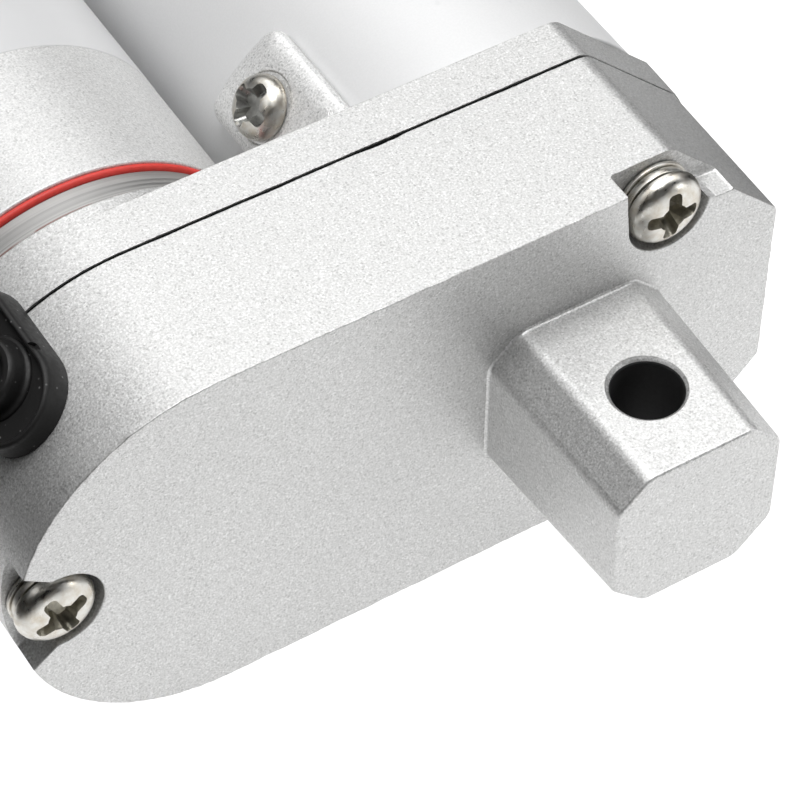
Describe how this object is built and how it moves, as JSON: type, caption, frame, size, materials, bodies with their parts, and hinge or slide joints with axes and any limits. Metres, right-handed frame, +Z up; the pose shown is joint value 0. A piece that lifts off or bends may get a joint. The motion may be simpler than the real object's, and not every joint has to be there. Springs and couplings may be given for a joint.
{
  "type": "linear actuator",
  "caption": "Compact electric linear actuator: silver cast gear housing with a one-hole rear clevis, a round motor beside the outer tube, and a sliding rod with a one-hole end.",
  "frame": {"origin": "centre of the rear clevis end face", "axes": "+Y along the stroke, from the rear clevis to the rod end; +Z up, along both pin holes; +X from the motor to the screw side"},
  "size_m": [0.0803, 0.223, 0.04],
  "materials": {
    "cast_silver": "sand-cast look silver paint, satin, fine metallic grain",
    "satin_silver": "smooth satin silver",
    "turned_steel": "turned, fine rings",
    "bright_screw": "bright nickel plate",
    "bearing_steel": "ground",
    "black_rubber": "satin black",
    "red_rubber": "smooth",
    "gear_steel": "machined",
    "gear_nylon": "moulded",
    "bronze": "sintered",
    "copper": "wound wire",
    "carbon": "matt",
    "ferrite": "matt",
    "black_plastic": "moulded, satin",
    "board_green": "board lacquer"
  },
  "bodies": {
    "housing": {"rear_cover": "cast_silver", "front_housing": "cast_silver", "housing_gasket": "black_rubber", "cover_screw_1": "bright_screw", "cover_screw_2": "bright_screw", "cover_screw_3": "bright_screw", "lock_washer_1": "bright_screw", "lock_washer_2": "bright_screw", "lock_washer_3": "bright_screw", "tube_screw_1": "bright_screw", "tube_screw_2": "bright_screw", "cable_gland": "black_rubber", "outer_tube": "satin_silver", "front_cap": "cast_silver", "cap_screw_1": "bright_screw", "cap_screw_2": "bright_screw", "cap_screw_3": "bright_screw", "rod_guide_bush": "black_plastic", "rod_wiper_seal": "black_rubber", "rear_bearing": "bearing_steel", "front_bearing": "bearing_steel", "gear_axle": "bearing_steel", "switch_rail": "board_green", "limit_switch_retracted": "black_plastic", "limit_switch_extended": "black_plastic", "motor_ring": "turned_steel", "motor_oring": "red_rubber", "motor_tube": "satin_silver", "motor_tube_cap": "black_plastic", "motor_can": "gear_steel", "motor_end_bell": "black_plastic", "motor_bush_front": "bronze", "motor_bush_rear": "bronze", "magnet_1": "ferrite", "magnet_2": "ferrite", "brush_1": "carbon", "brush_2": "carbon"},
    "rod": {"rod_tube": "satin_silver", "rod_end": "turned_steel", "rod_end_pin": "bearing_steel", "drive_nut": "bronze"},
    "screw": {"lead_screw": "gear_steel", "screw_gear": "gear_steel", "screw_spacer": "bearing_steel"},
    "idler": {"intermediate_gear": "gear_nylon"},
    "armature": {"armature_core": "gear_steel", "armature_winding_front": "copper", "armature_winding_rear": "copper", "commutator": "copper", "motor_shaft": "bearing_steel", "motor_pinion": "bronze"}
  },
  "joints": [
    {"name": "rod_extend", "type": "slide", "parent": "housing", "child": "rod", "axis": [0, 1, 0], "range_m": [0, 0.1]},
    {"name": "screw_spin", "type": "hinge", "parent": "housing", "child": "screw", "pos_m": [0.0044, 0.03, 0], "axis": [0, -1, 0], "range_deg": [0, 9001]},
    {"name": "idler_spin", "type": "hinge", "parent": "housing", "child": "idler", "pos_m": [-0.0161, 0.03, 0], "axis": [0, -1, 0], "range_deg": [-11501, 0]},
    {"name": "motor_spin", "type": "hinge", "parent": "housing", "child": "armature", "pos_m": [-0.0357, 0.04, 0], "axis": [0, -1, 0], "range_deg": [0, 35459.33]}
  ],
  "couplings": [
    {"joint": "screw_spin", "follows": "rod_extend", "rad_per_m": 1570.8},
    {"joint": "idler_spin", "follows": "rod_extend", "rad_per_m": -2007.1},
    {"joint": "motor_spin", "follows": "rod_extend", "rad_per_m": 6188.6}
  ]
}
